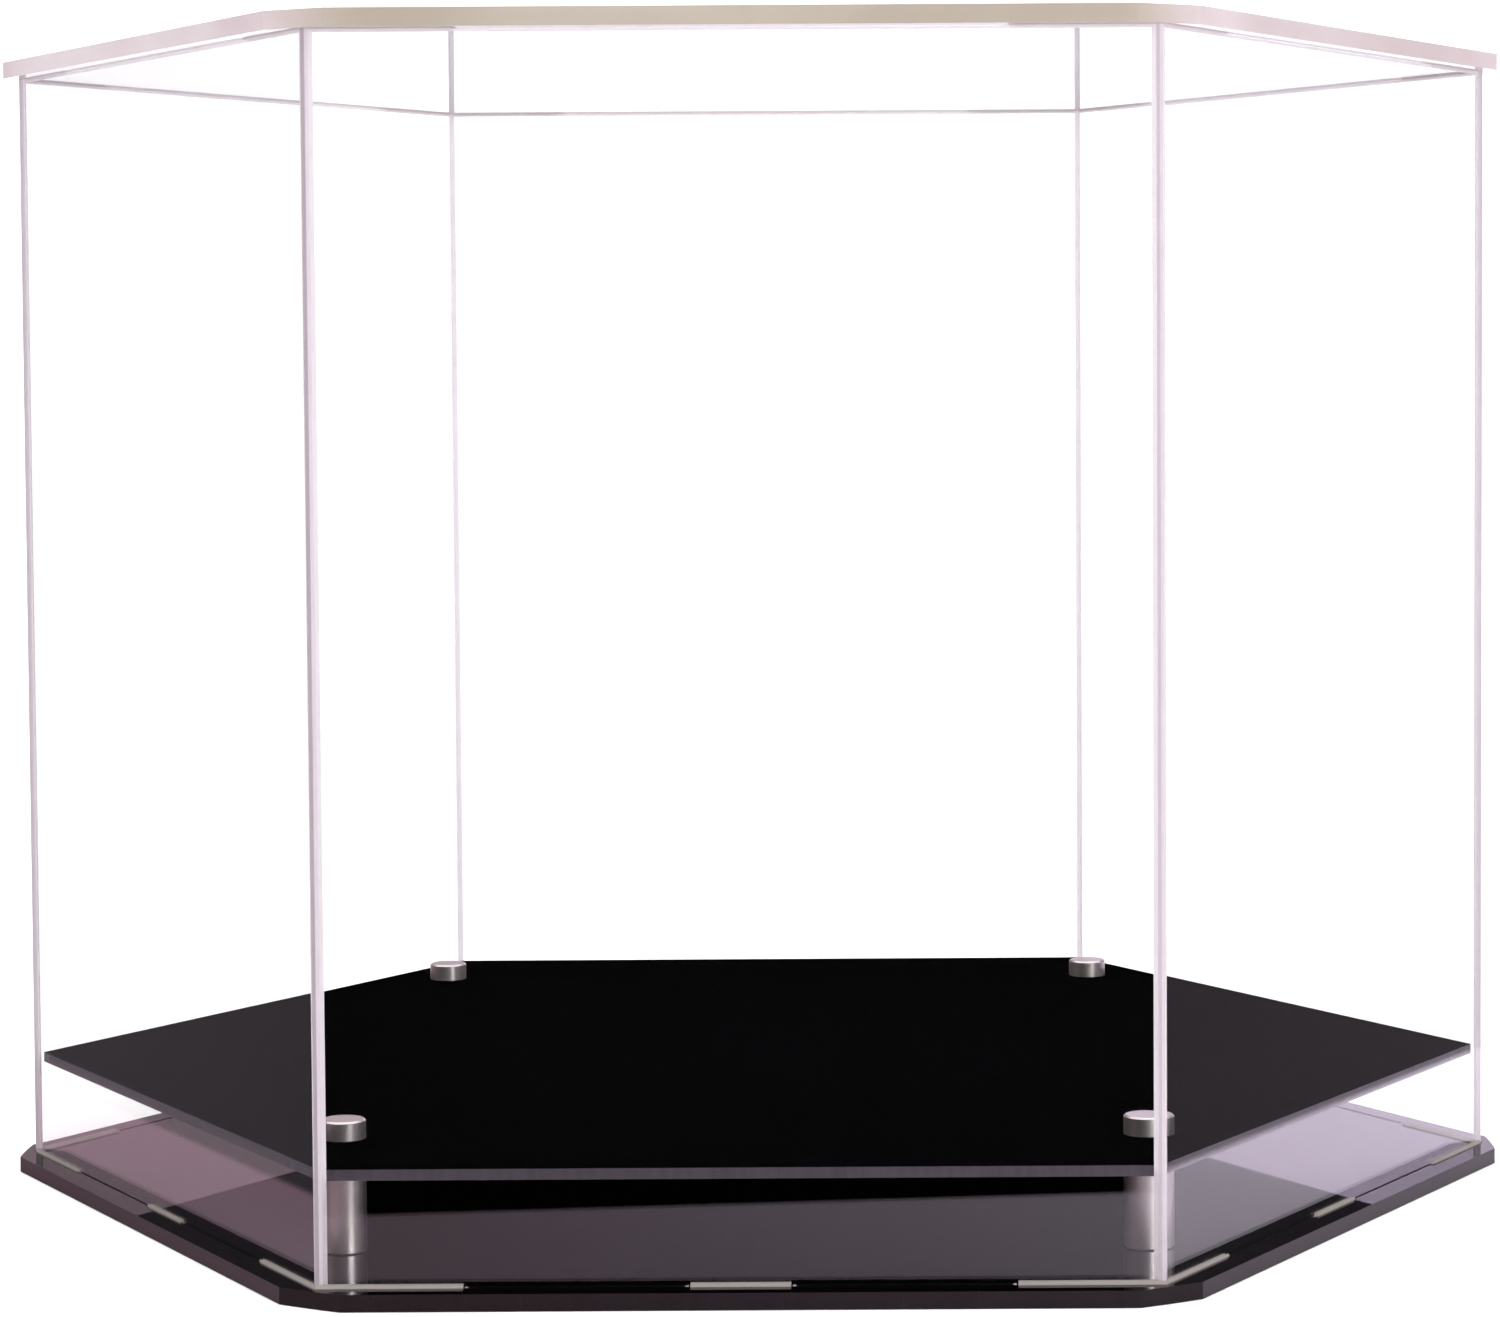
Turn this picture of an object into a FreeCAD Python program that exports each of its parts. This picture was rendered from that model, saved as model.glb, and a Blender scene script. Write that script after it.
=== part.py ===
import FreeCAD, Part
import os
import Sketcher

from FreeCAD import Placement, Rotation, Vector

# Hexagonal display case for one football helmet, in millimetres, +Z up.
# The origin is the middle of the base's underside. Two corners of the hexagon
# lie on the X axis, and the front wall faces -Y.
# The base, the raised platform and its four stand-offs stay on the table. The six
# mitred walls and the top plate are one cover, whose tabs drop into the base's slots.

DRIVING_SIZES = {
    # hexagon and sheets
    "wall_side": 228.0,        # width of one wall, outside, corner to corner
    "wall_rise": 336.0,        # height of the walls between base and top plate
    "wall_sheet": 3.0,
    "base_sheet": 4.6,         # 5 mm stock, which runs thin
    "top_sheet": 5.0,
    "platform_sheet": 3.0,
    "overhang": 7.5,           # how far base and top plate stand out past the walls
    "plate_reach": 231.1,      # corners of base and top plate are turned to this radius
    "mitre_relief": 0.06,      # bond line left at each mitred edge
    "bond_line": 0.05,         # bond line between wall tops and top plate
    # slots and tabs
    "slot_play": 0.5,          # slot wall to tab, each side
    "corner_slot": 39.0,       # wall corner to the centre of the slot's round end
    "middle_slot": 26.0,       # between the centres of the slot's round ends
    "tab_past_centre": 1.0,    # tab end past the centre of the slot's round end
    "tab_short": 0.3,          # tab tip held back from the far face of its plate
    # raised platform
    "platform_gap": 1.5,       # platform edge to the walls' inner faces
    "post_across": 112.0,      # stand-off axis from the middle, along X
    "post_along": 148.7,       # stand-off axis from the middle, along Y
    # stand-offs
    "post_dia": 12.5,
    "post_rise": 28.2,
    "post_bore": 6.1,
    "post_edge": 0.4,
    "washer_dia": 11.4,
    "washer_sheet": 0.3,
    "stud_dia": 6.0,
    "stud_reach": 12.0,        # stud below the cap
    "cap_rise": 5.4,
    "cap_edge": 0.5,
    "through_hole": 6.6,       # clearance hole for a stud or screw
    "screw_head_dia": 11.0,
    "screw_head_sunk": 0.3,    # screw head held in from the base's underside
    "screw_head_play": 0.2,    # screw head to countersink, on the radius
    "screw_reach": 15.0,       # screw tip above the base's underside
    "thread_lead": 0.5,        # bevel at a stud's or screw's tip
    "socket_width": 4.0,       # hexagon socket, across flats
    "socket_deep": 2.2,
}

WALLS = ["wall_front", "wall_front_right", "wall_back_right",
         "wall_back", "wall_back_left", "wall_front_left"]
POSTS = {"front_left": (-1, -1), "front_right": (1, -1),
         "rear_left": (-1, 1), "rear_right": (1, 1)}

CUT_PAST = 2.0                 # how far a cutting outline runs past the sheet it cuts

doc = FreeCAD.newDocument("helmet_display_case")
sizes = doc.addObject("Spreadsheet::Sheet", "Sizes")
for row, (alias, value) in enumerate(DRIVING_SIZES.items(), start=1):
    sizes.set(f"A{row}", alias)
    sizes.set(f"B{row}", str(value))
    sizes.setAlias(f"B{row}", alias)
doc.recompute()


def cell(alias):
    return f"Sizes.{alias}"


# Expressions worked out from the driving sizes.
WALL_OUT = f"({cell('wall_side')} * cos(30))"                 # middle to a wall's outer face
WALL_IN = f"({WALL_OUT} - {cell('wall_sheet')})"              # middle to a wall's inner face
SLOT_OUT = f"({WALL_OUT} + {cell('slot_play')})"
SLOT_IN = f"({WALL_IN} - {cell('slot_play')})"
SLOT_MID = f"(({SLOT_OUT} + {SLOT_IN}) / 2)"
SLOT_END = f"({cell('wall_side')} / 2 - {cell('corner_slot')})"
TAB_END = f"({SLOT_END} - {cell('tab_past_centre')})"
MIDDLE_TAB = f"({cell('middle_slot')} / 2 + {cell('tab_past_centre')})"
PLATE_CORNER_OUT = f"(({WALL_OUT} + {cell('overhang')}) / cos(30))"
PLATFORM_CORNER_OUT = f"(({WALL_IN} - {cell('platform_gap')}) / cos(30))"
BASE_TOP = cell("base_sheet")
TOP_UNDER = f"({BASE_TOP} + {cell('wall_rise')})"
POST_TOP = f"({BASE_TOP} + {cell('post_rise')})"
PLATFORM_UNDER = f"({POST_TOP} + {cell('washer_sheet')})"
PLATFORM_TOP = f"({PLATFORM_UNDER} + {cell('platform_sheet')})"
CAP_UNDER = f"({PLATFORM_TOP} + {cell('washer_sheet')})"


def value_of(expression):
    return float(sizes.evalExpression(expression))


# ---------------------------------------------------------------- building helpers

def new_body(name):
    body = doc.addObject("PartDesign::Body", name)
    body.Label = name
    return body


def new_sketch(body, name, plane, lift=None):
    """A sketch on one of the body's origin planes, lifted along the plane's normal."""
    sketch = body.newObject("Sketcher::SketchObject", name)
    support = [f for f in body.Origin.OriginFeatures if f.Role == plane][0]
    sketch.AttachmentSupport = [(support, "")]
    sketch.MapMode = "FlatFace"
    if lift:
        sketch.setExpression("AttachmentOffset.Base.z", lift)
    return sketch


def pin_point(sketch, geometry, point, x, y):
    """Ties a sketch point to its two coordinates, each an expression."""
    origin = (-1, 1)
    for kind, axis, expression in (("DistanceX", -2, x), ("DistanceY", -1, y)):
        if expression == "0":
            sketch.addConstraint(Sketcher.Constraint("PointOnObject", geometry, point, axis))
        else:
            index = sketch.addConstraint(
                Sketcher.Constraint(kind, *origin, geometry, point, value_of(expression)))
            sketch.setExpression(f"Constraints[{index}]", expression)


def outline(sketch, corners):
    """A closed outline through corners, each a pair of expressions."""
    at = [Vector(value_of(x), value_of(y), 0) for x, y in corners]
    count = len(corners)
    first = sketch.GeometryCount
    for i in range(count):
        sketch.addGeometry(Part.LineSegment(at[i], at[(i + 1) % count]), False)
    for i in range(count):
        following = first + (i + 1) % count
        sketch.addConstraint(Sketcher.Constraint("Coincident", first + i, 2, following, 1))
    for i, (x, y) in enumerate(corners):
        pin_point(sketch, first + i, 1, x, y)


def circle(sketch, x, y, diameter):
    centre = Vector(value_of(x), value_of(y), 0)
    round_ = Part.Circle(centre, Vector(0, 0, 1), value_of(diameter) / 2)
    index = sketch.addGeometry(round_, False)
    pin_point(sketch, index, 3, x, y)
    size = sketch.addConstraint(Sketcher.Constraint("Diameter", index, value_of(diameter)))
    sketch.setExpression(f"Constraints[{size}]", diameter)


def hexagon(sketch, corner_out, turn=0):
    """A regular hexagon of circumradius corner_out, with a corner at turn degrees."""
    corners = []
    for k in range(6):
        angle = turn + 60 * k
        x = "0" if angle % 180 == 90 else f"{corner_out} * cos({angle})"
        y = "0" if angle % 180 == 0 else f"{corner_out} * sin({angle})"
        corners.append((x, y))
    outline(sketch, corners)


def pad(body, sketch, length):
    feature = body.newObject("PartDesign::Pad", sketch.Name + "_pad")
    feature.Profile = sketch
    feature.setExpression("Length", length)
    doc.recompute()
    return feature


def pocket_through(body, sketch):
    """Cuts the sketch right through the solid above it, and checks that it cuts."""
    before = body.Shape.Volume
    feature = body.newObject("PartDesign::Pocket", sketch.Name + "_cut")
    feature.Profile = sketch
    feature.Type = "ThroughAll"
    feature.Reversed = True
    doc.recompute()
    if body.Shape.Volume >= before:
        raise RuntimeError(f"{sketch.Name} cuts nothing")
    return feature


def six_times(body, features, name):
    """Repeats cuts at the other five walls."""
    pattern = body.newObject("PartDesign::PolarPattern", name)
    pattern.Originals = features
    pattern.Axis = ([f for f in body.Origin.OriginFeatures if f.Role == "Z_Axis"][0], [""])
    pattern.Angle = 360
    pattern.Occurrences = 6
    body.Tip = pattern
    doc.recompute()
    return pattern


def turn_off_corners(body):
    """Takes the corners of a hexagonal plate off outside a circle about its middle."""
    sketch = new_sketch(body, body.Name + "_corners", "XY_Plane")
    circle(sketch, "0", "0", f"2 * {cell('plate_reach')}")
    circle(sketch, "0", "0", f"2 * ({PLATE_CORNER_OUT} + {CUT_PAST})")
    return pocket_through(body, sketch)


def turned(body, name, corners):
    """Turns a half section, given as radius and height expressions, about the Z axis."""
    sketch = new_sketch(body, name + "_section", "XZ_Plane")
    outline(sketch, corners)
    feature = body.newObject("PartDesign::Revolution", name + "_turned")
    feature.Profile = sketch
    feature.ReferenceAxis = (sketch, ["V_Axis"])
    feature.Angle = 360
    doc.recompute()
    return feature


def place(body, x, y, z, turn=0):
    """Places a body by expressions, turned about Z by a number of degrees."""
    body.Placement = Placement(Vector(0, 0, 0), Rotation(Vector(0, 0, 1), turn))
    for axis, expression in (("x", x), ("y", y), ("z", z)):
        if expression != "0":
            body.setExpression(f"Placement.Base.{axis}", expression)


# ---------------------------------------------------------------- slotted plates

def slot_cuts(body, with_middle):
    """Cuts one wall's slots and repeats them: mitred ones at both corners, which meet
    the next wall's in a V, and where asked a straight one in the middle."""
    straight = new_sketch(body, body.Name + "_slots", "XY_Plane")
    for side in ("-", ""):
        outline(straight, [
            (f"{side}{SLOT_OUT} * tan(30)", f"-{SLOT_OUT}"),
            (f"{side}{SLOT_END}", f"-{SLOT_OUT}"),
            (f"{side}{SLOT_END}", f"-{SLOT_IN}"),
            (f"{side}{SLOT_IN} * tan(30)", f"-{SLOT_IN}")])
    if with_middle:
        outline(straight, [(f"{side}{cell('middle_slot')} / 2", f"-{edge}")
                           for side, edge in (("-", SLOT_OUT), ("", SLOT_OUT),
                                              ("", SLOT_IN), ("-", SLOT_IN))])
    round_ends = new_sketch(body, body.Name + "_slot_ends", "XY_Plane")
    width = f"({SLOT_OUT} - {SLOT_IN})"
    for side in ("-", ""):
        circle(round_ends, f"{side}{SLOT_END}", f"-{SLOT_MID}", width)
        if with_middle:
            circle(round_ends, f"{side}{cell('middle_slot')} / 2", f"-{SLOT_MID}", width)
    cuts = [pocket_through(body, straight), pocket_through(body, round_ends)]
    six_times(body, cuts, body.Name + "_slot_pattern")


def hexagonal_plate(name, corner_out, sheet):
    body = new_body(name)
    sketch = new_sketch(body, name + "_outline", "XY_Plane")
    hexagon(sketch, corner_out)
    pad(body, sketch, sheet)
    return body


def post_holes(body, diameter):
    sketch = new_sketch(body, body.Name + "_post_holes", "XY_Plane")
    for across, along in POSTS.values():
        circle(sketch, f"{across} * {cell('post_across')}", f"{along} * {cell('post_along')}",
               diameter)
    return sketch


def make_base_plate():
    body = hexagonal_plate("base_plate", PLATE_CORNER_OUT, cell("base_sheet"))
    turn_off_corners(body)
    slot_cuts(body, with_middle=True)
    before = body.Shape.Volume
    sketch = post_holes(body, cell("through_hole"))
    doc.recompute()
    hole = body.newObject("PartDesign::Hole", "screw_holes")
    hole.Profile = sketch
    doc.recompute()
    hole.Reversed = True
    hole.ThreadType = "None"
    hole.DepthType = "ThroughAll"
    hole.HoleCutType = "Countersink"
    hole.HoleCutCustomValues = True
    hole.HoleCutCountersinkAngle = 90
    hole.setExpression("Diameter", cell("through_hole"))
    hole.setExpression("HoleCutDiameter", f"{cell('screw_head_dia')} + "
                       f"2 * ({cell('screw_head_sunk')} + {cell('screw_head_play')})")
    doc.recompute()
    if body.Shape.Volume >= before:
        raise RuntimeError("the screw holes cut nothing")
    place(body, "0", "0", "0")
    return body


def make_platform():
    body = hexagonal_plate("display_platform", PLATFORM_CORNER_OUT, cell("platform_sheet"))
    pocket_through(body, post_holes(body, cell("through_hole")))
    place(body, "0", "0", PLATFORM_UNDER)
    return body


def make_top_plate():
    body = hexagonal_plate("top_plate", PLATE_CORNER_OUT, cell("top_sheet"))
    turn_off_corners(body)
    slot_cuts(body, with_middle=False)
    place(body, "0", "0", TOP_UNDER)
    return body


# ---------------------------------------------------------------- walls

def make_wall(name, turn):
    """The front wall, turned to its place: a sheet with three tabs at its foot and two
    at its head, and its two upright edges mitred to meet its neighbours."""
    body = new_body(name)
    foot = BASE_TOP
    foot_tip = cell("tab_short")
    head = f"({TOP_UNDER} - {cell('bond_line')})"
    head_tip = f"({TOP_UNDER} + {cell('top_sheet')} - {cell('tab_short')})"
    half = f"{cell('wall_side')} / 2"
    elevation = new_sketch(body, name + "_elevation", "XZ_Plane", WALL_IN)
    outline(elevation, [
        (f"-{half}", foot_tip), (f"-{TAB_END}", foot_tip), (f"-{TAB_END}", foot),
        (f"-{MIDDLE_TAB}", foot), (f"-{MIDDLE_TAB}", foot_tip),
        (MIDDLE_TAB, foot_tip), (MIDDLE_TAB, foot),
        (TAB_END, foot), (TAB_END, foot_tip), (half, foot_tip),
        (half, head_tip), (TAB_END, head_tip), (TAB_END, head),
        (f"-{TAB_END}", head), (f"-{TAB_END}", head_tip), (f"-{half}", head_tip)])
    pad(body, elevation, cell("wall_sheet"))
    mitres = new_sketch(body, name + "_mitres", "XY_Plane")
    outside = f"({WALL_OUT} + {CUT_PAST})"
    inside = f"({WALL_IN} - {CUT_PAST})"
    clear = f"({half} + {CUT_PAST})"
    relief = cell("mitre_relief")
    for side in ("-", ""):
        outline(mitres, [
            (f"{side}({outside} * tan(30) - {relief})", f"-{outside}"),
            (f"{side}({inside} * tan(30) - {relief})", f"-{inside}"),
            (f"{side}{clear}", f"-{inside}"),
            (f"{side}{clear}", f"-{outside}")])
    pocket_through(body, mitres)
    place(body, "0", "0", "0", turn)
    return body


# ---------------------------------------------------------------- stand-offs

def make_barrel(name):
    body = new_body(name)
    rim = f"{cell('post_dia')} / 2"
    bore = f"{cell('post_bore')} / 2"
    edge = cell("post_edge")
    rise = cell("post_rise")
    turned(body, name, [
        (bore, "0"), (f"{rim} - {edge}", "0"), (rim, edge), (rim, f"{rise} - {edge}"),
        (f"{rim} - {edge}", rise), (bore, rise)])
    return body


def make_cap(name):
    """The cap and its stud, with the cap's underside at the body's origin."""
    body = new_body(name)
    rim = f"{cell('post_dia')} / 2"
    stud = f"{cell('stud_dia')} / 2"
    edge = cell("cap_edge")
    reach = cell("stud_reach")
    lead = cell("thread_lead")
    turned(body, name, [
        ("0", f"-{reach}"), (f"{stud} - {lead}", f"-{reach}"), (stud, f"-{reach} + {lead}"),
        (stud, "0"), (rim, "0"), (rim, f"{cell('cap_rise')} - {edge}"),
        (f"{rim} - {edge}", cell("cap_rise")), ("0", cell("cap_rise"))])
    return body


def make_screw(name):
    """A countersunk screw with a hexagon socket, driven up through the base."""
    body = new_body(name)
    low = cell("screw_head_sunk")
    rim = f"{cell('screw_head_dia')} / 2"
    shank = f"({cell('stud_dia')} / 2)"
    tip = cell("screw_reach")
    lead = cell("thread_lead")
    turned(body, name, [
        ("0", low), (rim, low), (shank, f"{low} + {rim} - {shank}"),
        (shank, f"{tip} - {lead}"), (f"{shank} - {lead}", tip), ("0", tip)])
    socket = new_sketch(body, name + "_socket", "XY_Plane", low)
    hexagon(socket, f"({cell('socket_width')} / 2 / cos(30))", turn=30)
    before = body.Shape.Volume
    cut = body.newObject("PartDesign::Pocket", name + "_socket_cut")
    cut.Profile = socket
    cut.Reversed = True
    cut.setExpression("Length", cell("socket_deep"))
    doc.recompute()
    if body.Shape.Volume >= before:
        raise RuntimeError(f"{name} has no socket")
    return body


def make_washer(name):
    body = new_body(name)
    sketch = new_sketch(body, name + "_ring", "XY_Plane")
    circle(sketch, "0", "0", cell("washer_dia"))
    circle(sketch, "0", "0", cell("through_hole"))
    pad(body, sketch, cell("washer_sheet"))
    return body


def make_standoff(corner, across, along):
    """One stand-off: screw, barrel, washer, (platform,) washer and cap, from below."""
    x = f"{across} * {cell('post_across')}"
    y = f"{along} * {cell('post_along')}"
    stack = [
        (make_screw(f"standoff_screw_{corner}"), "0"),
        (make_barrel(f"standoff_barrel_{corner}"), BASE_TOP),
        (make_washer(f"lower_washer_{corner}"), POST_TOP),
        (make_washer(f"upper_washer_{corner}"), PLATFORM_TOP),
        (make_cap(f"standoff_cap_{corner}"), CAP_UNDER)]
    for body, height in stack:
        place(body, x, y, height)
    return [body for body, height in stack]


# ---------------------------------------------------------------- assembly

def check(parts):
    doc.recompute()
    for thing in doc.Objects:
        if "Invalid" in thing.State or "Error" in thing.State:
            raise RuntimeError(f"{thing.Name} failed: {thing.State}")
    for body in parts:
        shape = body.Shape
        if shape.isNull() or not shape.isValid():
            raise RuntimeError(f"{body.Label} has no valid shape")
        if len(shape.Solids) != 1:
            raise RuntimeError(f"{body.Label} is {len(shape.Solids)} solids, not one")


def main():
    parts = [make_base_plate(), make_platform()]
    for corner, (across, along) in POSTS.items():
        parts += make_standoff(corner, across, along)
    for k, name in enumerate(WALLS):
        parts.append(make_wall(name, 60 * k))
    parts.append(make_top_plate())
    check(parts)
    os.makedirs("parts", exist_ok=True)
    for body in parts:
        Part.export([body], f"parts/{body.Label}.step")


main()
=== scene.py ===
import math

import bpy
from mathutils import Matrix, Vector


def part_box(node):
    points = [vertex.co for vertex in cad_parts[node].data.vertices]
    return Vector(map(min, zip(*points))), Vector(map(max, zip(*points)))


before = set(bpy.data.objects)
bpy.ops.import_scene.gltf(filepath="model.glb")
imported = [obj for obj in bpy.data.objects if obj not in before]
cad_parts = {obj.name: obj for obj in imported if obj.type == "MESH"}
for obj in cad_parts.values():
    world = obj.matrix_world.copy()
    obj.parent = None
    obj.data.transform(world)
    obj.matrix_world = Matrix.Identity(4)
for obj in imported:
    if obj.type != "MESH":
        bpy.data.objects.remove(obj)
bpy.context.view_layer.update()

# A hexagonal display case for one football helmet, standing free on a pale floor.
# The base, the raised platform and its stand-offs are body "base". The clear walls and
# the top plate are body "cover", which lifts off. Lengths are in metres.

WALL_TURNS = {"wall_front": 0, "wall_front_right": 60, "wall_back_right": 120,
              "wall_back": 180, "wall_back_left": 240, "wall_front_left": 300}
POST_CORNERS = ("front_left", "front_right", "rear_left", "rear_right")
WALL_OUTSIDE = 0.19745          # middle of the case to a wall's outer face
WALL_SHEET = 0.003
BASE_TOP = 0.0046               # the base's upper face
CEMENT = 0.0013                 # width of the bead of cement inside the walls' corners
TAB_FROST = 0.0008              # the tabs' frost shows this far above the base
WALL_HEAD = 0.3406              # underside of the top plate
TAB_FROM = 0.0745               # a wall's corner tabs reach in to here from its corners
MIDDLE_TAB = 0.0135             # half the width of its middle tab
REAR_FROM = 0.1                 # the two rear corners are past this, along Y
FLAT_ON = 0.95                  # a face is cut where its normal's share across the sheet is less


# ---------------------------------------------------------------- shader expressions

class Number:
    """A number in a node tree. Python arithmetic on it adds the tree's Math nodes."""

    def __init__(self, nodes, socket):
        self.nodes = nodes
        self.socket = socket

    def math(self, operation, *others):
        return self.nodes.number("ShaderNodeMath", {"operation": operation},
                                 dict(enumerate((self,) + others)))

    def __add__(self, other):
        return self.math("ADD", other)

    __radd__ = __add__

    def __sub__(self, other):
        return self.math("SUBTRACT", other)

    def __rsub__(self, other):
        return self * -1 + other

    def __mul__(self, other):
        return self.math("MULTIPLY", other)

    __rmul__ = __mul__

    def __abs__(self):
        return self.math("ABSOLUTE")

    def __gt__(self, other):
        return self.math("GREATER_THAN", other)

    def __lt__(self, other):
        return self.math("LESS_THAN", other)

    def ramp(self, low, high):
        """0 below low and 1 above high, easing in between. high may be the lower one."""
        return self.nodes.number("ShaderNodeMapRange", {"interpolation_type": "SMOOTHSTEP"},
                                 {"Value": self, "From Min": low, "From Max": high})


class Nodes:
    """Builds one node tree: of a material or of the world."""

    def __init__(self, tree):
        self.tree = tree
        tree.nodes.clear()

    def add(self, kind, settings=None, sockets=None):
        node = self.tree.nodes.new(kind)
        for name, value in (settings or {}).items():
            setattr(node, name, value)
        for key, value in (sockets or {}).items():
            if isinstance(value, Number):
                value = value.socket
            if isinstance(value, bpy.types.NodeSocket):
                self.tree.links.new(value, node.inputs[key])
            else:
                node.inputs[key].default_value = value
        return node

    def number(self, kind, settings=None, sockets=None, output=0):
        return Number(self, self.add(kind, settings, sockets).outputs[output])

    def part_of(self, vector, way):
        """How far a vector socket reaches along a fixed direction."""
        return self.number("ShaderNodeVectorMath", {"operation": "DOT_PRODUCT"},
                           {0: vector, 1: way}, output="Value")

    def light_path(self, output):
        return self.number("ShaderNodeLightPath", output=output)

    def mix_colours(self, factor, first, second):
        node = self.add("ShaderNodeMix", {"data_type": "RGBA"},
                        {"Factor": factor, 6: first, 7: second})
        return node.outputs[2]

    def mix_shaders(self, factor, first, second):
        return self.add("ShaderNodeMixShader", None, {0: factor, 1: first, 2: second}).outputs[0]

    def noise(self, where, scale, detail=2.0, stretch=None):
        if stretch:
            where = self.add("ShaderNodeMapping", None,
                             {"Vector": where, "Scale": stretch}).outputs[0]
        return self.number("ShaderNodeTexNoise", None,
                           {"Vector": where, "Scale": scale, "Detail": detail})

    def surface(self, shader):
        self.add("ShaderNodeOutputMaterial", None, {"Surface": shader})


def new_material(name):
    material = bpy.data.materials.new(name)
    material.use_nodes = True
    return material, Nodes(material.node_tree)


def colour(red, green, blue):
    return (red, green, blue, 1.0)


# ---------------------------------------------------------------- finishes

def black_sheet(name, gloss, haze, rim_gloss, rim_dark, rim_pale):
    """Black acrylic sheet: its face, and a polished edge that is a little greyer."""
    material, nodes = new_material(name)
    place = nodes.add("ShaderNodeTexCoord")
    edge = abs(nodes.part_of(place.outputs["Normal"], (0, 0, 1))) < 0.5
    smears = nodes.noise(place.outputs["Object"], 9.0, 3.0).ramp(0.45, 0.75)
    face = nodes.add("ShaderNodeBsdfPrincipled", None, {
        "Base Color": colour(0.0012, 0.0010, 0.0012),
        "Roughness": haze + smears * 0.02,
        "IOR": 1.49,
        "Specular IOR Level": gloss,
        "Specular Tint": colour(0.97, 0.90, 0.99)})
    strokes = nodes.noise(place.outputs["Object"], 60.0, 2.0, (9.0, 9.0, 0.4))
    rim = nodes.add("ShaderNodeBsdfPrincipled", None, {
        "Base Color": nodes.mix_colours(strokes, rim_dark, rim_pale),
        "Roughness": 0.10 + strokes * 0.12,
        "IOR": 1.49,
        "Specular IOR Level": rim_gloss,
        "Specular Tint": colour(0.97, 0.90, 0.99)})
    nodes.surface(nodes.mix_shaders(edge, face.outputs[0], rim.outputs[0]))
    return material


def finish_clear(nodes, frosted, tint, grain):
    """Clear acrylic, polished but where frosted is 1. There its surface scatters light
    from inside and outside the sheet."""
    clear = nodes.add("ShaderNodeBsdfPrincipled", None, {
        "Base Color": colour(0.998, 0.994, 0.998), "Roughness": 0.0, "IOR": 1.49,
        "Transmission Weight": 1.0})
    frost = nodes.add("ShaderNodeBsdfPrincipled", None, {
        "Base Color": tint, "Roughness": 0.35 + grain * 0.2, "IOR": 1.49,
        "Specular IOR Level": 0.2})
    glow = nodes.add("ShaderNodeBsdfTranslucent", None, {"Color": tint})
    lit_through = nodes.mix_shaders(0.5, frost.outputs[0], glow.outputs[0])
    solid = nodes.mix_shaders(frosted * 0.98, clear.outputs[0], lit_through)
    lets_light_in = nodes.add("ShaderNodeBsdfTransparent", None,
                              {"Color": colour(0.95, 0.95, 0.95)})
    shadow = nodes.light_path("Is Shadow Ray")
    nodes.surface(nodes.mix_shaders(shadow, solid, lets_light_in.outputs[0]))


def clear_wall(node, turn):
    """A wall's clear sheet. Its cut edges are frosted, and so are narrow beads of cement
    on its inside, beside the mitres and under the top plate, and its tabs to just above
    the base. The tint of a mitre goes by its corner, as painted light and shade: darkest at
    the left front, palest at the right front. It was chosen and isn't a property of the sheet."""
    material, nodes = new_material(f"clear acrylic {node}")
    place = nodes.add("ShaderNodeTexCoord")
    point = place.outputs["Object"]
    out = (math.sin(turn), -math.cos(turn), 0.0)
    along = (math.cos(turn), math.sin(turn), 0.0)
    aside = abs(nodes.part_of(point, along))
    height = nodes.part_of(point, (0, 0, 1))
    cut = abs(nodes.part_of(place.outputs["Normal"], out)) < FLAT_ON
    inner = nodes.part_of(point, out) < WALL_OUTSIDE - 0.5 * WALL_SHEET
    by_mitre = aside > (WALL_OUTSIDE - WALL_SHEET) * math.tan(math.radians(30)) - CEMENT
    bead = inner * by_mitre.math("MAXIMUM", height > WALL_HEAD - 0.6 * CEMENT)
    tabbed = (aside > TAB_FROM).math("MAXIMUM", aside < MIDDLE_TAB)
    tab = tabbed * (height < BASE_TOP + TAB_FROST)
    frosted = cut.math("MAXIMUM", bead).math("MAXIMUM", tab)
    grain = nodes.noise(point, 330.0)
    # Painted light and shade on the mitres: darker at the left front, paler at the right front,
    # dark again at the rear.
    front = nodes.part_of(point, (0, -1, 0)).math("MAXIMUM", 0.0)
    lit_side = (nodes.part_of(point, (1, 0, 0)) * front).ramp(-0.027, 0.027)
    mitre = nodes.mix_colours(lit_side, colour(0.50, 0.43, 0.47), colour(0.90, 0.83, 0.88))
    mitre = nodes.mix_colours(nodes.part_of(point, (0, 1, 0)) > REAR_FROM, mitre,
                              colour(0.55, 0.48, 0.54))
    pale = nodes.mix_colours(bead, mitre, colour(0.74, 0.68, 0.73))
    tint = nodes.mix_colours(tab, pale, colour(0.58, 0.52, 0.49))
    finish_clear(nodes, frosted, nodes.mix_colours(grain * 0.2, tint, colour(0.5, 0.5, 0.5)),
                 grain)
    return material


def clear_top():
    """The top plate's clear sheet, with its rim and the sides of its slots frosted. These
    are tinted by place, as painted light: beige near the middle and a cooler grey at the sides."""
    material, nodes = new_material("clear acrylic top plate")
    place = nodes.add("ShaderNodeTexCoord")
    point = place.outputs["Object"]
    cut = abs(nodes.part_of(place.outputs["Normal"], (0, 0, 1))) < FLAT_ON
    patches = nodes.noise(point, 9.0, 3.0).ramp(0.35, 0.65)
    # Painted light on the frosted rim and slot sides: beige near the middle, cooler grey at the
    # sides.
    beige = nodes.mix_colours(patches, colour(0.40, 0.345, 0.29), colour(0.49, 0.435, 0.375))
    cool = nodes.mix_colours(patches, colour(0.53, 0.44, 0.46), colour(0.63, 0.56, 0.59))
    painted_light_by_side = abs(nodes.part_of(point, (1, 0, 0))).ramp(0.10, 0.13)
    finish_clear(nodes, cut, nodes.mix_colours(painted_light_by_side, beige, cool),
                 nodes.noise(point, 330.0))
    return material


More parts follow.
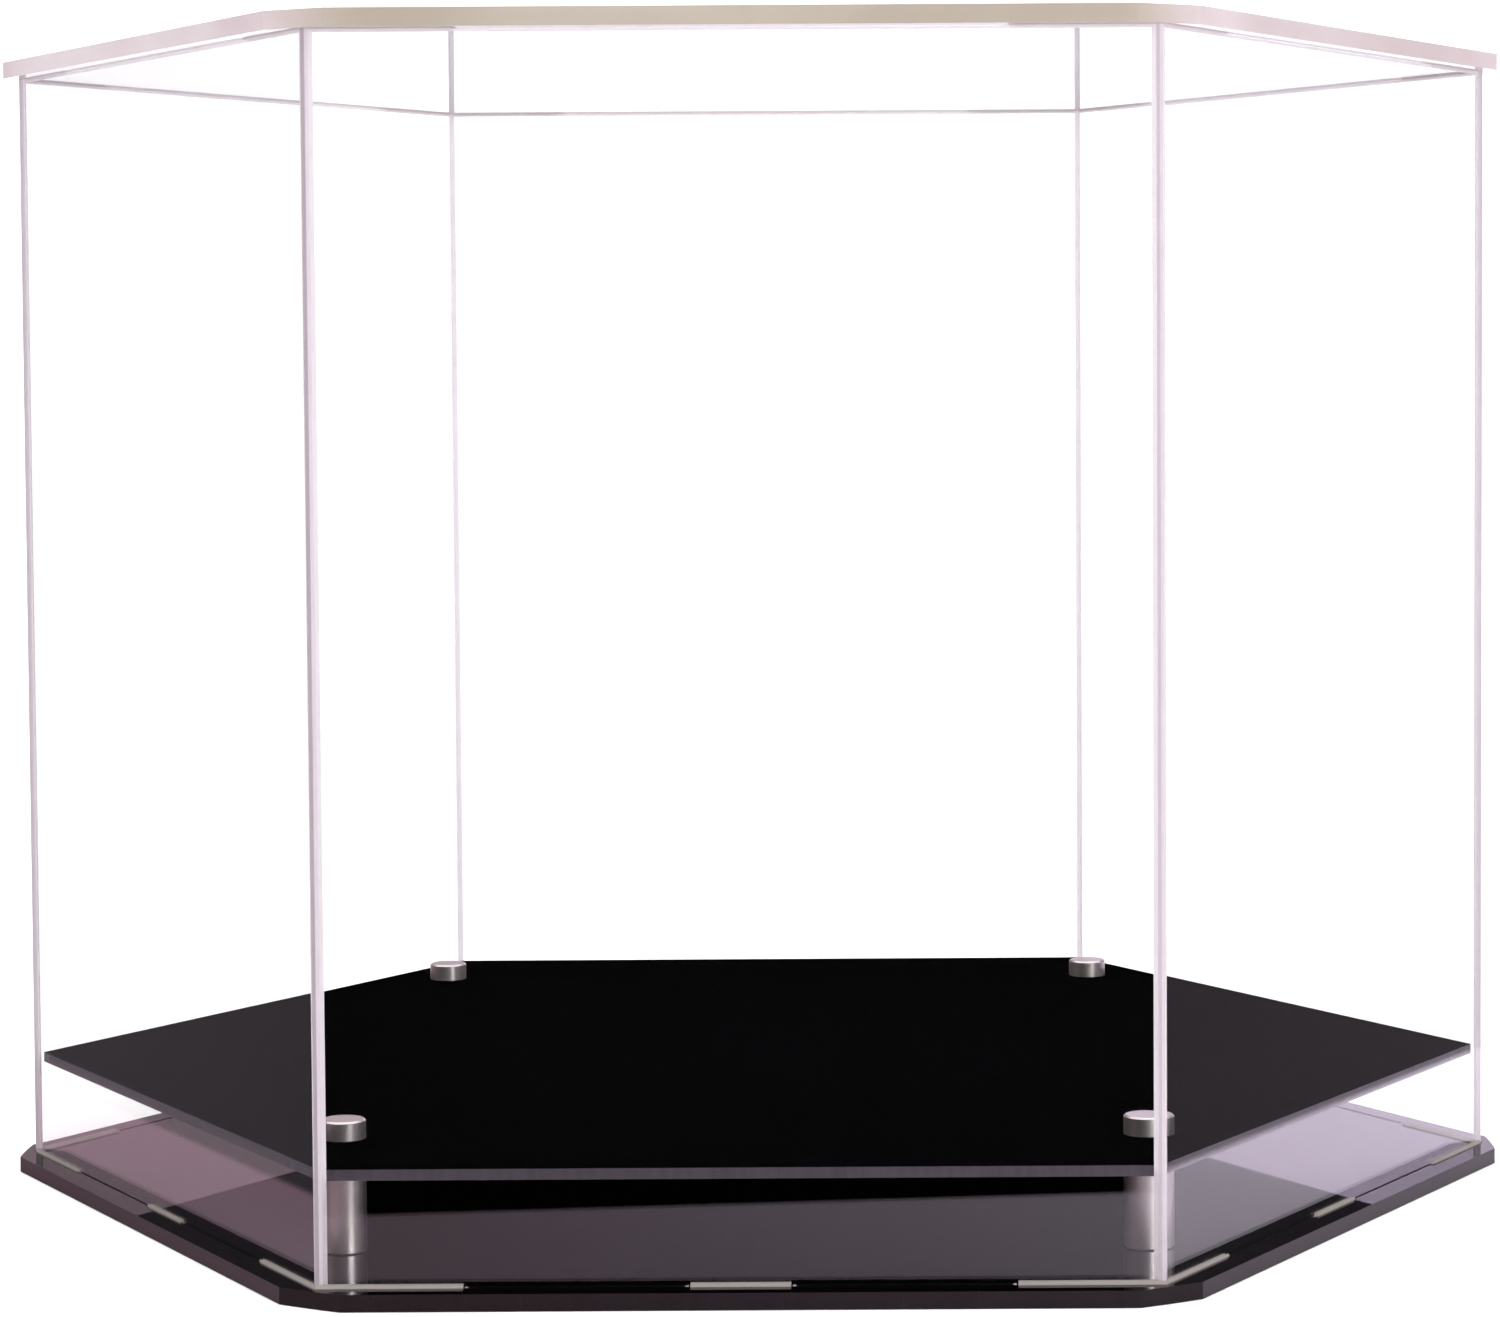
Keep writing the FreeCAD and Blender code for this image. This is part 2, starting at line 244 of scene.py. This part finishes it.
def turned_steel(name, tint, centre):
    """Satin steel turned on a lathe about an upright axis through centre."""
    material, nodes = new_material(name)
    place = nodes.add("ShaderNodeTexCoord")
    from_axis = nodes.add("ShaderNodeVectorMath", {"operation": "SUBTRACT"},
                          {0: place.outputs["Object"], 1: (centre.x, centre.y, 0)}).outputs[0]
    out = nodes.number("ShaderNodeVectorMath", {"operation": "LENGTH"},
                       {0: nodes.add("ShaderNodeVectorMath", {"operation": "MULTIPLY"},
                                     {0: from_axis, 1: (1, 1, 0)}).outputs[0]}, output="Value")
    up = nodes.part_of(place.outputs["Object"], (0, 0, 1))
    rings = nodes.number("ShaderNodeTexNoise", {"noise_dimensions": "1D"},
                         {"W": out * 2600.0 + up * 5200.0, "Scale": 1.0, "Detail": 3.0})
    bump = nodes.add("ShaderNodeBump", None,
                     {"Height": rings, "Strength": 0.25, "Distance": 0.00005})
    steel = nodes.add("ShaderNodeBsdfPrincipled", None, {
        "Base Color": nodes.mix_colours(rings, tint, colour(*(0.82 * c for c in tint[:3]))),
        "Metallic": 1.0,
        "Roughness": 0.26 + rings * 0.16,
        "Normal": bump.outputs[0]})
    nodes.surface(steel.outputs[0])
    return material


def washer_rubber():
    material, nodes = new_material("washer rubber")
    place = nodes.add("ShaderNodeTexCoord")
    grain = nodes.noise(place.outputs["Object"], 900.0, 3.0)
    rubber = nodes.add("ShaderNodeBsdfPrincipled", None, {
        "Base Color": nodes.mix_colours(grain, colour(0.010, 0.009, 0.010),
                                        colour(0.022, 0.020, 0.022)),
        "Roughness": 0.45 + grain * 0.2})
    nodes.surface(rubber.outputs[0])
    return material


# ---------------------------------------------------------------- the object's pieces

def dress(node, material):
    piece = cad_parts[node]
    piece.data.materials.clear()
    piece.data.materials.append(material)
    return piece


def ease_edges(piece, width):
    """Breaks the sharp edges of a cut sheet, so that they catch a line of light."""
    bevel = piece.modifiers.new("eased edges", "BEVEL")
    bevel.width = width
    bevel.segments = 2
    bevel.limit_method = "ANGLE"
    bevel.angle_limit = math.radians(50)


def middle_of(node):
    low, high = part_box(node)
    return (Vector(low) + Vector(high)) / 2


def finish_base():
    base_black = black_sheet("base black acrylic", 0.5, 0.015, 0.25,
                             colour(0.004, 0.002, 0.002), colour(0.010, 0.007, 0.007))
    ease_edges(dress("base_plate", base_black), 0.0004)
    platform_black = black_sheet("platform black acrylic", 0.0, 0.12, 0.7,
                                 colour(0.034, 0.028, 0.036), colour(0.060, 0.050, 0.062))
    ease_edges(dress("display_platform", platform_black), 0.0003)
    rubber = washer_rubber()
    for corner in POST_CORNERS:
        centre = middle_of(f"standoff_cap_{corner}")
        steel = turned_steel(f"turned steel {corner}", colour(0.66, 0.61, 0.60), centre)
        zinc = turned_steel(f"zinc {corner}", colour(0.60, 0.62, 0.66), centre)
        dress(f"standoff_cap_{corner}", steel)
        dress(f"standoff_barrel_{corner}", steel)
        dress(f"standoff_screw_{corner}", zinc)
        dress(f"lower_washer_{corner}", rubber)
        dress(f"upper_washer_{corner}", rubber)


def finish_cover():
    for node, turn in WALL_TURNS.items():
        dress(node, clear_wall(node, math.radians(turn)))
    dress("top_plate", clear_top())


# ---------------------------------------------------------------- floor, light, camera

# What polished faces mirror isn't the plain floor and light seen directly, but a lit table
# in a dark room before a backdrop. Its edges and colours were fitted for the view from
# the front, and from elsewhere they show as hard-edged patches.
TABLE_FRONT = -0.325            # the table's front edge, at x = 0
TABLE_SKEW = 0.118              # how far that edge comes forward along X
TABLE_SIDE = 0.262              # middle of the table to its two sides
TABLE_SHIFT = 0.012             # that middle, along X
TABLE_EDGE = 0.004              # its edges fade out over this
SIDE_TURN = math.radians(30)    # its two sides run beside the front side walls
BACKDROP_FOOT = 0.9             # the backdrop stands on the floor from here back
BACKDROP_SPREAD = 1.33          # half its width there is its distance over this
WHITE = 1.7                     # brighter than white, so that clear sheets stay white
UNLIT = colour(0.003, 0.003, 0.003)
WARM_SIDE = colour(0.46, 0.34, 0.39)
COOL_SIDE = colour(1.03, 0.88, 1.14)


def make_floor():
    """A pale floor, which in mirror images is the table, with darkness round it up to the
    backdrop."""
    bpy.ops.mesh.primitive_plane_add(size=60.0, location=(0, 0, -0.0002))
    floor = bpy.context.object
    floor.name = "floor"
    material, nodes = new_material("pale floor")
    place = nodes.add("ShaderNodeNewGeometry").outputs["Position"]
    x = nodes.part_of(place, (1, 0, 0))
    y = nodes.part_of(place, (0, 1, 0))
    beside = y > -WALL_OUTSIDE
    outward = abs(x - TABLE_SHIFT) * math.cos(SIDE_TURN) - y * math.sin(SIDE_TURN)
    off_side = outward.ramp(TABLE_SIDE, TABLE_SIDE + TABLE_EDGE)
    off_front = (y + x * TABLE_SKEW).ramp(TABLE_FRONT, TABLE_FRONT - TABLE_EDGE)
    # Painted light on the table in mirror images: darker and warmer on the left, paler on the
    # right.
    table = nodes.mix_colours(x.ramp(-0.3, 0.3), colour(0.30, 0.19, 0.24),
                              colour(0.72, 0.65, 0.76))
    at_side = nodes.mix_colours(off_side, table, colour(0.065, 0.056, 0.064))
    at_front = nodes.mix_colours(off_front, table, UNLIT)
    room = nodes.mix_colours(beside, at_front, at_side)
    backdrop = (y > BACKDROP_FOOT) * (y - abs(x) * BACKDROP_SPREAD > 0.0)
    in_mirror = nodes.mix_colours(backdrop, room, colour(0.88, 0.88, 0.88))
    mirrored = nodes.light_path("Glossy Depth") > 0.5
    paint = nodes.add("ShaderNodeBsdfDiffuse", None, {
        "Color": nodes.mix_colours(mirrored, colour(0.96, 0.96, 0.96), in_mirror)})
    nodes.surface(paint.outputs[0])
    floor.data.materials.append(material)


def make_surroundings():
    """White all round, except in mirror images: there the world is a lit backdrop behind
    the case, warmer on the left than on the right, with pale walls at its sides, a pale
    ceiling and a dim room between them."""
    world = bpy.data.worlds.new("studio")
    bpy.context.scene.world = world
    world.use_nodes = True
    nodes = Nodes(world.node_tree)
    way = nodes.add("ShaderNodeTexCoord").outputs["Generated"]
    x = nodes.part_of(way, (1, 0, 0))
    y = nodes.part_of(way, (0, 1, 0))
    room = nodes.mix_colours(y.ramp(-0.3, 0.3), UNLIT, colour(0.12, 0.10, 0.12))
    sides = nodes.mix_colours(x.ramp(-0.1, 0.1), colour(0.42, 0.33, 0.30), colour(0.8, 0.74, 0.8))
    beside = abs(x).ramp(0.78, 0.92)
    backdrop = nodes.mix_colours(x.ramp(-0.16, 0.12), WARM_SIDE, COOL_SIDE)
    overhead = nodes.part_of(way, (0, 0, 1)).ramp(0.55, 0.85)
    lit_room = nodes.mix_colours(beside, room, sides)
    lit_room = nodes.mix_colours(y.ramp(0.70, 0.90), lit_room, backdrop)
    lit_room = nodes.mix_colours(overhead, lit_room, colour(0.80, 0.77, 0.78))
    mirrored = nodes.light_path("Glossy Depth") > 0.5
    seen = nodes.mix_colours(mirrored, colour(WHITE, WHITE, WHITE), lit_room)
    lit = nodes.mix_colours(nodes.light_path("Is Diffuse Ray"), seen, colour(1, 1, 1))
    sky = nodes.add("ShaderNodeBackground", None, {"Color": lit, "Strength": 1.0})
    nodes.add("ShaderNodeOutputWorld", None, {"Surface": sky.outputs[0]})


def add_softbox(name, place, aim, size, power):
    light = bpy.data.lights.new(name, "AREA")
    light.shape = "RECTANGLE"
    light.size, light.size_y = size
    light.energy = power
    lamp = bpy.data.objects.new(name, light)
    bpy.context.scene.collection.objects.link(lamp)
    lamp.location = place
    lamp.rotation_mode = "QUATERNION"
    lamp.rotation_quaternion = (Vector(aim) - Vector(place)).to_track_quat("-Z", "Y")
    lamp.visible_camera = False


def make_lights():
    sky_light = bpy.data.lights.new("soft overhead light", "SUN")
    sky_light.energy = 2.6
    sky_light.angle = math.radians(100)
    lamp = bpy.data.objects.new("soft overhead light", sky_light)
    bpy.context.scene.collection.objects.link(lamp)
    add_softbox("right strip", (0.95, -1.35, 0.55), (0, 0, 0.05), (0.5, 1.2), 10.0)


def make_camera():
    """The camera stands in front of the case, a little above it, and looks down on it."""
    yaw, pitch, roll = -0.0002, 0.0506, -0.0058
    ahead = Vector((math.sin(yaw) * math.cos(pitch), math.cos(yaw) * math.cos(pitch),
                    -math.sin(pitch)))
    level = Vector((math.cos(yaw), -math.sin(yaw), 0))
    upright = level.cross(ahead)
    right = level * math.cos(roll) + upright * math.sin(roll)
    up = upright * math.cos(roll) - level * math.sin(roll)
    turn = Matrix((right, up, -ahead)).transposed()
    camera = bpy.data.objects.new("camera", bpy.data.cameras.new("camera"))
    camera.matrix_world = Matrix.Translation((0.0326, -1.2979, 0.2535)) @ turn.to_4x4()
    camera.data.lens = 99.54
    camera.data.shift_x = -0.0716
    camera.data.shift_y = -0.0616
    bpy.context.scene.collection.objects.link(camera)
    bpy.context.scene.camera = camera


def set_colour_handling():
    scene = bpy.context.scene
    scene.view_settings.view_transform = "Standard"
    scene.cycles.transparent_max_bounces = 32
    scene.cycles.max_bounces = 20
    scene.cycles.transmission_bounces = 20
    scene.cycles.glossy_bounces = 8


finish_base()
finish_cover()
make_floor()
make_surroundings()
make_lights()
make_camera()
set_colour_handling()
